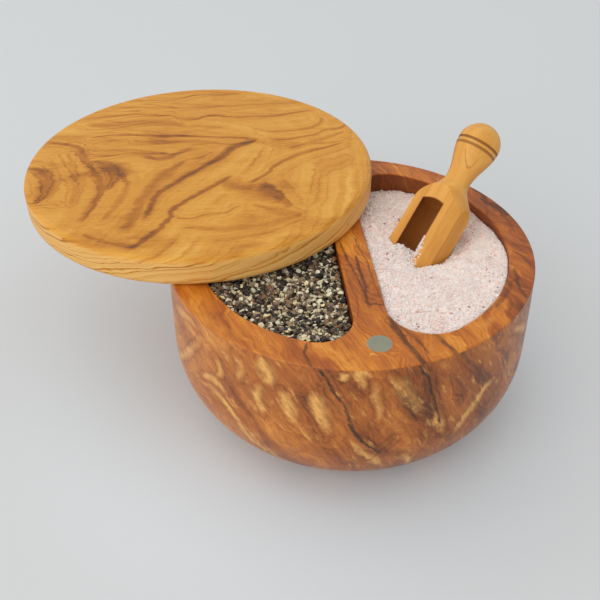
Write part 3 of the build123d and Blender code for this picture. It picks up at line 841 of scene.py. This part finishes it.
def piece_from(name, bm_or_mesh, material, body, smooth=False):
    """An object in metres from a bmesh in millimetres, riding on a body."""
    if isinstance(bm_or_mesh, bmesh.types.BMesh):
        mesh = bpy.data.meshes.new(name)
        bm_or_mesh.to_mesh(mesh)
        bm_or_mesh.free()
    else:
        mesh = bm_or_mesh
    mesh.transform(Matrix.Scale(MM, 4))
    if smooth:
        mesh.shade_smooth()
    else:
        mesh.shade_flat()
    mesh.materials.append(material)
    piece = bpy.data.objects.new(name, mesh)
    bpy.context.scene.collection.objects.link(piece)
    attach(piece, body)
    return piece


# %% Strewing grains
dice = np.random.default_rng(7)  # every draw below comes from here, in the same order each run


def shape_of(bm, mark=None):
    """The points, triangles and, for each triangle, the mark of a small bmesh."""
    bmesh.ops.triangulate(bm, faces=bm.faces)
    bm.verts.index_update()
    points = np.array([vertex.co for vertex in bm.verts])
    corners = np.array([[vertex.index for vertex in face.verts] for face in bm.faces])
    marks = np.array([face[mark] if mark else 0.0 for face in bm.faces])
    bm.free()
    return points, corners, marks


def turns_of(count, tilt):
    """That many rotation matrices: any heading, and a lean of up to tilt degrees either way."""
    heading = dice.uniform(0, 2 * pi, count)
    lean = np.radians(dice.uniform(-tilt, tilt, count))
    spin = dice.uniform(0, 2 * pi, count)
    zero, one = np.zeros(count), np.ones(count)

    def about_z(angle):
        c, s = np.cos(angle), np.sin(angle)
        return np.array([[c, -s, zero], [s, c, zero], [zero, zero, one]]).transpose(2, 0, 1)

    c, s = np.cos(lean), np.sin(lean)
    about_x = np.array([[one, zero, zero], [zero, c, -s], [zero, s, c]]).transpose(2, 0, 1)
    return about_z(heading) @ about_x @ about_z(spin)


def strewn(name, shapes, centres, sizes, tilt):
    """One mesh of many grains. Each has a tint of its own from 0 to 1, and each face keeps its mark."""
    count = len(centres)
    turns = turns_of(count, tilt)
    kinds = dice.integers(0, len(shapes), count)
    tints = dice.uniform(0, 1, count)
    points, corners, marks, tint = [], [], [], []
    first = 0
    # All the grains of one kind are scaled, turned and placed at once.
    for kind, (shape, triangles, mark) in enumerate(shapes):
        chosen = np.flatnonzero(kinds == kind)
        scaled = shape[None, :, :] * sizes[chosen][:, None, :]
        placed = np.einsum("nij,nkj->nki", turns[chosen], scaled) + centres[chosen][:, None, :]
        points.append(placed.reshape(-1, 3))
        offsets = first + np.arange(len(chosen)) * len(shape)
        corners.append((triangles[None, :, :] + offsets[:, None, None]).reshape(-1, 3))
        marks.append(np.tile(mark, len(chosen)))
        tint.append(np.repeat(tints[chosen], len(shape)))
        first += len(chosen) * len(shape)
    mesh = bpy.data.meshes.new(name)
    mesh.from_pydata(np.concatenate(points), [], np.concatenate(corners).tolist())
    mesh.attributes.new("tint", "FLOAT", "POINT").data.foreach_set("value", np.concatenate(tint))
    mesh.attributes.new("mark", "FLOAT", "FACE").data.foreach_set("value", np.concatenate(marks))
    return mesh


def spots_in(node, count, margin):
    """Random places between the compartment's walls, at least a margin from them."""
    low, high = (np.array(corner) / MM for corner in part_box(node))
    # Three times as many as are wanted, because those outside the walls are dropped.
    spots = dice.uniform(low[:2], high[:2], (3 * count, 2))
    # The largest distance past any wall is below 0 for a spot that lies inside all of them.
    outside = np.max(
        [(spots - np.array(point.xy)) @ np.array(outward.xy) for point, outward in walls_of(node)], axis=0
    )
    return spots[outside < -margin][:count]


def attribute(tree, name):
    """A value that the mesh carries, as a field."""
    node = tree.nodes.new("ShaderNodeAttribute")
    node.attribute_name = name
    return Field(tree, node.outputs["Fac"])


print("heap helpers ready")

# %% [markdown]
# ## Salt
# Somebody has scooped salt out at the back, where the bare wall shows. In front it still lies flush with
# the rim, and round the scoop's right flank it has sunk. The scoop stands in it, so its way in is cut out
# of the mound: a ring for the buried tube, and the full round above the salt that the tube holds.

# %% Salt's surface
SALT_CROWN = 65.3  # the highest that the mound comes
scoop_heading = Vector((scoop_axis.x, scoop_axis.y)).normalized()
plug_length = 15.0  # salt that the tube holds, from its mouth


def rumple(x, y, lengths_and_depths):
    """Unevenness in millimetres: a sum of noises, each with a length and a depth. Each length reads a
    level of the noise far from the others', so that the lumps don't line up."""
    return sum(
        noise.noise(Vector((x / length, y / length, 7.3 * length))) * depth
        for length, depth in lengths_and_depths
    )


def between(value, low, high):
    return min(max(value, low), high)


def salt_height(x, y):
    """The salt's height over the foot, in millimetres."""
    # From 5 mm in front of the middle, the surface falls away in a parabola towards the back.
    taken = 0.00231 * max(0.0, y + 5) ** 2
    # A shallow dent by the outer wall, 14 mm wide and 12 mm long to each side.
    dent = 1.4 * exp(-(((x - 54) / 14) ** 2) - ((y - 8) / 12) ** 2)
    along = (x - scoop_mouth.x) * scoop_heading.x + (y - scoop_mouth.y) * scoop_heading.y
    right = (x - scoop_mouth.x) * scoop_heading.y - (y - scoop_mouth.y) * scoop_heading.x
    # The tube meets the surface in an ellipse. The sinking fades with distance from that, and is
    # deeper on the scoop's right and further back.
    from_tube = max(0.0, (((along - 15) / 17) ** 2 + (right / barrel_radius) ** 2) ** 0.5 - 1) * 11
    sunk = 1.3 + 2.6 * between((right + 4) / 9, 0, 1) * between((along + 12) / 22, 0, 1.3)
    uneven = rumple(x, y, [(17, 0.7), (6, 0.6), (2.4, 0.42), (1.0, 0.2)])
    level = SALT_CROWN - 0.5 - taken - dent - sunk * exp(-((from_tube / 5) ** 2)) + uneven
    return min(level, SALT_CROWN + uneven * 0.15)


front, back = salt_height(30, -30), salt_height(30, 40)
print("salt stands", round(front, 1), "mm up in front and", round(back, 1), "behind")


# %% Salt mound, with the scoop's way in
def along_scoop(radius, start, end):
    """A closed round bar along the scoop's axis, as a bmesh in millimetres."""
    bar = bmesh.new()
    bmesh.ops.create_cone(
        bar, cap_ends=True, segments=48, radius1=radius, radius2=radius, depth=end - start,
        matrix=Matrix.Translation(scoop_mouth + scoop_axis * (start + end) / 2)
        @ scoop_axis.to_track_quat("Z", "Y").to_matrix().to_4x4(),
    )
    return bar


def ring_along_scoop(inner, outer, start, end):
    """A closed ring round the scoop's axis: a rectangle, spun all the way."""
    ring = bmesh.new()
    corners = [(inner, start), (outer, start), (outer, end), (inner, end)]
    loop = [ring.verts.new(scoop_mouth + slot_facing * out + scoop_axis * along) for out, along in corners]
    edges = [ring.edges.new((loop[i - 1], loop[i])) for i in range(4)]
    bmesh.ops.spin(
        ring, geom=loop + edges, cent=scoop_mouth, axis=scoop_axis, dvec=(0, 0, 0), angle=2 * pi, steps=48,
        use_merge=True,
    )
    bmesh.ops.recalc_face_normals(ring, faces=ring.faces)
    return ring


def cut_away(piece, bar):
    """Takes a closed bmesh in millimetres out of a piece."""
    mesh = bpy.data.meshes.new("cutter")
    bar.to_mesh(mesh)
    bar.free()
    mesh.transform(Matrix.Scale(MM, 4))
    cutter = bpy.data.objects.new("cutter", mesh)
    bpy.context.scene.collection.objects.link(cutter)
    boolean = piece.modifiers.new("way", "BOOLEAN")
    boolean.object = cutter
    boolean.solver = "EXACT"
    bpy.context.view_layer.update()
    cut = bpy.data.meshes.new_from_object(piece.evaluated_get(bpy.context.evaluated_depsgraph_get()))
    piece.modifiers.clear()
    piece.data = cut
    bpy.data.objects.remove(cutter)


scoop_gap = 0.3  # clearance between the salt and the scoop's wood
ring_end = plug_length + 0.01  # just past where the full round begins
buried_tube = ring_along_scoop(bore_radius - scoop_gap, barrel_radius + scoop_gap, -scoop_gap, ring_end)
bmesh.ops.bisect_plane(
    buried_tube, geom=everything_in(buried_tube), plane_no=slot_facing, clear_outer=True,
    plane_co=scoop_mouth + slot_facing * (slot_height + scoop_gap),
)
bmesh.ops.holes_fill(buried_tube, edges=[edge for edge in buried_tube.edges if edge.is_boundary])
print("the scoop's way in: a ring with", len(buried_tube.faces), "faces, and a bar above it")


# %% Salt's colour
SALT_WHITE = shade(250, 234, 225)
SALT_PINK = shade(246, 213, 200)
SALT_ROSE = shade(204, 144, 132)
SALT_RUST = shade(134, 76, 66)


def salt_matter(name, grains):
    """Mostly white, with pink, rose and rusty grains. The mound takes its tints from cells instead."""
    material, tree, shader = new_material(name)
    here = place_of(tree)
    if grains:
        tint = attribute(tree, "tint")
    else:
        cells = tree.nodes.new("ShaderNodeTexVoronoi")
        feed(tree, cells.inputs["Vector"], here)
        cells.inputs["Scale"].default_value = 1.5  # cells of two thirds of a millimetre
        tint = parts_of(Field(tree, cells.outputs["Color"]))[0]
    colour = ramp(
        tint,
        [(0.0, SALT_WHITE), (0.6, SALT_WHITE), (0.93, SALT_PINK), (0.98, SALT_PINK), (0.992, SALT_ROSE),
         (1.0, SALT_RUST)],
    )
    blush = ripple(here, (9, 9, 9), detail=3).step(0.0, 0.8) * 0.35
    colour = blend(blush, colour, shade(238, 204, 194), "MULTIPLY")
    feed(tree, shader.inputs["Base Color"], colour)
    shader.inputs["Roughness"].default_value = 0.55
    shader.inputs["Subsurface Weight"].default_value = 0.4
    # How far red, green and blue light spread inside, in metres.
    shader.inputs["Subsurface Radius"].default_value = (0.0012, 0.0008, 0.0007)
    shader.inputs["Subsurface Scale"].default_value = 1.0
    if not grains:
        raise_bump(tree, shader, ripple(here, (0.55, 0.55, 0.55), detail=2), 0.15)
    return material


FLOOR_ROUND = 5.8  # the round at the compartments' floor, less the gap to the wood

salt_heap = mound("salt", salt_height, 0.8, FLOOR_ROUND)
salt = piece_from("salt_mound", salt_heap, salt_matter("pink_salt", False), "box", smooth=True)
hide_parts("salt")
cut_away(salt, buried_tube)
cut_away(salt, along_scoop(barrel_radius + scoop_gap, plug_length, scoop_length))
print("salt mound:", len(salt.data.polygons), "faces")


# %% Salt grains
GRAIN_CEILING = rim_level - 0.05  # what lies loose stays under the lid, which shuts on the rim


def crystal():
    """A salt crystal: a cube one millimetre wide."""
    bm = bmesh.new()
    bmesh.ops.create_cube(bm, size=1)
    return shape_of(bm)


salt_spots = spots_in("salt", 11000, 0.4)
salt_sizes = dice.uniform(0.3, 0.72, (len(salt_spots), 1)) * dice.uniform(0.7, 1.1, (len(salt_spots), 3))
salt_sizes[dice.uniform(0, 1, len(salt_spots)) < 0.06] *= 1.5  # a few coarse crystals
# The grains sit a little proud of the mound.
salt_centres = np.array([
    (x, y, min(salt_height(x, y) + 0.04, GRAIN_CEILING - size * 0.85))
    for (x, y), size in zip(salt_spots, salt_sizes.max(axis=1))
])


def clear_of_scoop(centres, sizes):
    """Which of the grains touch none of the scoop's wood, and lie outside it or in the salt it holds."""
    local = centres - np.array(scoop_mouth)
    along = local @ np.array(scoop_axis)
    out = local @ np.array(slot_facing)
    radius = np.linalg.norm(local - along[:, None] * np.array(scoop_axis), axis=1)
    reach = sizes.max(axis=1) * 0.6  # about how far a grain comes from its middle
    above = out > slot_height + reach
    outside = radius > barrel_radius + reach
    held = (radius < bore_radius - reach) & (along < plug_length)
    return np.where(above, along < plug_length, outside | held) | (along < -reach)


free = clear_of_scoop(salt_centres, salt_sizes)
grain_salt = salt_matter("pink_salt_grains", True)
grains = strewn("salt_grains", [crystal()], salt_centres[free], salt_sizes[free], 90)
piece_from("salt_grains", grains, grain_salt, "box")
print("salt grains:", int(free.sum()))

# %% Grains that were left on the scoop
# A little ridge of salt stayed on the right arm of the slot, along its inner edge. It is widest near the
# mouth and runs out up the arm.
left_on = 150
arm_inner, arm_outer = 4.9, 8.0  # from the middle of the slot
run = dice.uniform(9.5, 21.0, left_on)
across = arm_inner + dice.exponential(0.5, left_on) * (21.5 - run) / 5
arm_sizes = dice.uniform(0.22, 0.55, (left_on, 3))
arm_centres = (
    np.array(scoop_mouth)
    + run[:, None] * np.array(scoop_axis)
    + across[:, None] * np.array(slot_side)
    + (slot_height + 0.12) * np.array(slot_facing)
)
on_arm = across < arm_outer
arm_grains = strewn("salt_on_scoop", [crystal()], arm_centres[on_arm], arm_sizes[on_arm], 90)
piece_from("salt_on_scoop", arm_grains, grain_salt, "scoop")
print("grains left on the scoop:", int(on_arm.sum()))

# %% [markdown]
# ## Cracked pepper
# Peppercorns break into chips: cream inside, nearly black and wrinkled outside. Each kind of chip here
# starts as a coarse ball, which is cut by one to three planes. The cuts are closed with a face that
# carries a mark, so that one material can colour the skin and the inside of the corn. Each chip is then
# squashed and turned its own way.

# %% Pepper's surface
PEPPER_LEVEL = 62.6  # of the mound, under the loose chips


def pepper_height(x, y):
    """The mound's height over the foot, in millimetres."""
    return PEPPER_LEVEL + rumple(x, y, [(20, 0.9), (7, 0.6), (2.5, 0.5)])


def chip(cuts, face_up):
    """A peppercorn chip one millimetre long. The mark is 1 on faces inside the corn. The first cut faces up
    if face_up is 1, down if it is -1, and anywhere if it is 0."""
    bm = bmesh.new()
    bmesh.ops.create_icosphere(bm, subdivisions=1, radius=0.5)
    inside = bm.faces.layers.float.new("mark")
    for index in range(cuts):
        way = Vector(dice.normal(size=3))
        if index == 0:
            way = way * 0.3 + Vector((0, 0, 2 * face_up))
        way.normalize()
        parts = bmesh.ops.bisect_plane(
            bm, geom=everything_in(bm), plane_co=way * dice.uniform(0.02, 0.22), plane_no=way,
            clear_outer=True,
        )
        edges = [item for item in parts["geom_cut"] if isinstance(item, bmesh.types.BMEdge)]
        for face in bmesh.ops.contextual_create(bm, geom=edges)["faces"]:
            face[inside] = 1.0
    return shape_of(bm, inside)


# %% Pepper's colour
def pepper_matter(name, chips):
    """Nearly black skin and cream flesh. The mound takes darker tints from cells instead, as painted shade
    between the chips.
    """
    material, tree, shader = new_material(name)
    here = place_of(tree)
    if chips:
        tint = attribute(tree, "tint")
        inside = attribute(tree, "mark")
    else:
        cells = tree.nodes.new("ShaderNodeTexVoronoi")
        feed(tree, cells.inputs["Vector"], here)
        cells.inputs["Scale"].default_value = 1.2
        # Scaled down, so the mound is darker than the chips: painted shade in the gaps between them.
        tint = parts_of(Field(tree, cells.outputs["Color"]))[0] * 0.7
        inside = tint.step(0.8, 0.95) * 0.4  # little of the dust is flesh
    wrinkle = ripple(here, (0.35, 0.35, 0.35), detail=2)
    skin = ramp(
        tint + wrinkle * 0.15,
        [(0.0, shade(30, 25, 24)), (0.36, shade(52, 42, 37)), (0.58, shade(96, 74, 56)),
         (0.82, shade(142, 120, 92)), (0.97, shade(128, 80, 50))],
    )
    flesh = ramp(
        tint + wrinkle * 0.1,
        [(0.0, shade(118, 90, 64)), (0.2, shade(184, 162, 122)), (0.4, shade(234, 218, 174)),
         (0.8, shade(224, 218, 196)), (1.0, shade(244, 224, 160))],
    )
    feed(tree, shader.inputs["Base Color"], blend(inside, skin, flesh))
    shader.inputs["Roughness"].default_value = 0.6
    raise_bump(tree, shader, wrinkle, 0.12)
    return material


pepper_heap = mound("pepper", pepper_height, 1.2, FLOOR_ROUND)
pepper_dust_and_gap_shade = pepper_matter("pepper_dust_and_gap_shade", False)
pepper = piece_from("pepper_mound", pepper_heap, pepper_dust_and_gap_shade, "box", smooth=True)
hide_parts("pepper")
print("pepper mound:", len(pepper.data.polygons), "faces")

# %% Pepper chips
CHIP_KINDS = ((1, 1), (2, 1), (3, 1), (2, 1), (2, 0), (3, 0), (2, -1), (3, -1))  # cuts, face_up
chips = [chip(cuts, face_up) for cuts, face_up in CHIP_KINDS]
pepper_spots = spots_in("pepper", 4000, 0.9)
pepper_sizes = dice.uniform(1.3, 3.0, (len(pepper_spots), 1)) * dice.uniform(0.7, 1.0, (len(pepper_spots), 3))
lift = dice.uniform(-0.2, 1.3, len(pepper_spots))
pepper_centres = np.array([
    (x, y, min(pepper_height(x, y) + up, rim_level - 0.1 - size * 0.55))
    for (x, y), up, size in zip(pepper_spots, lift, pepper_sizes.max(axis=1))
])
chip_mesh = strewn("pepper_chips", chips, pepper_centres, pepper_sizes, 40)
piece_from("pepper_chips", chip_mesh, pepper_matter("cracked_pepper", True), "box")
print("pepper chips:", len(pepper_centres), "with", len(chip_mesh.polygons), "triangles")

# %% [markdown]
# ## Table and light
# The box stands on a pale, slightly glossy table in soft daylight. A large lamp above the left shoulder
# of the camera lights the front, a weak one overhead keeps the tops bright, and the world fills in the
# rest, so every shadow is soft.

# %% Table
floor_mesh = bpy.data.meshes.new("floor")
bm = bmesh.new()
bmesh.ops.create_circle(bm, cap_ends=True, segments=64, radius=4.0)
bm.to_mesh(floor_mesh)
bm.free()
floor = bpy.data.objects.new("floor", floor_mesh)
bpy.context.scene.collection.objects.link(floor)
floor_material, floor_tree, floor_shader = new_material("pale_floor")
# The table is painted paler round the box: painted light against the box's soft shadow.
painted_light_middle = Vector((-25, 5, 0))
off_middle = vector_math(floor_tree, "SUBTRACT", place_of(floor_tree), painted_light_middle)
painted_light_near_box = 1.0 - vector_math(floor_tree, "LENGTH", off_middle).step(50, 140)
table_tone_with_painted_light = blend(painted_light_near_box, shade(208, 210, 210), shade(219, 227, 231))
feed(floor_tree, floor_shader.inputs["Base Color"], table_tone_with_painted_light)
floor_shader.inputs["Roughness"].default_value = 0.55
floor_shader.inputs["Specular IOR Level"].default_value = 0.25
floor_mesh.materials.append(floor_material)
print("table made, 8 m across")


# %% Light and world
def soft_box(name, place, aim, side, power):
    """A square lamp of that side in metres and that power in watts, turned to aim."""
    lamp = bpy.data.lights.new(name, "AREA")
    lamp.shape = "SQUARE"
    lamp.size = side
    lamp.energy = power
    lamp_object = bpy.data.objects.new(name, lamp)
    lamp_object.location = place
    lamp_object.rotation_euler = (Vector(aim) - Vector(place)).to_track_quat("-Z", "Y").to_euler()
    bpy.context.scene.collection.objects.link(lamp_object)


soft_box("ceiling", (-0.5, 0.35, 1.5), aim=(0, 0, 0.05), side=1.6, power=5)
soft_box("fill", (-1.2, -1.2, 0.8), aim=(0, 0, 0.03), side=1.6, power=14)

# Daylight from all round, a touch blue.
world = bpy.data.worlds.new("studio")
world.use_nodes = True
world.node_tree.nodes["Background"].inputs["Color"].default_value = (0.97, 0.985, 1.0, 1.0)
world.node_tree.nodes["Background"].inputs["Strength"].default_value = 0.78
bpy.context.scene.world = world
bpy.context.scene.view_settings.view_transform = "Standard"
print("lamps:", ", ".join(lamp.name for lamp in bpy.data.lights))
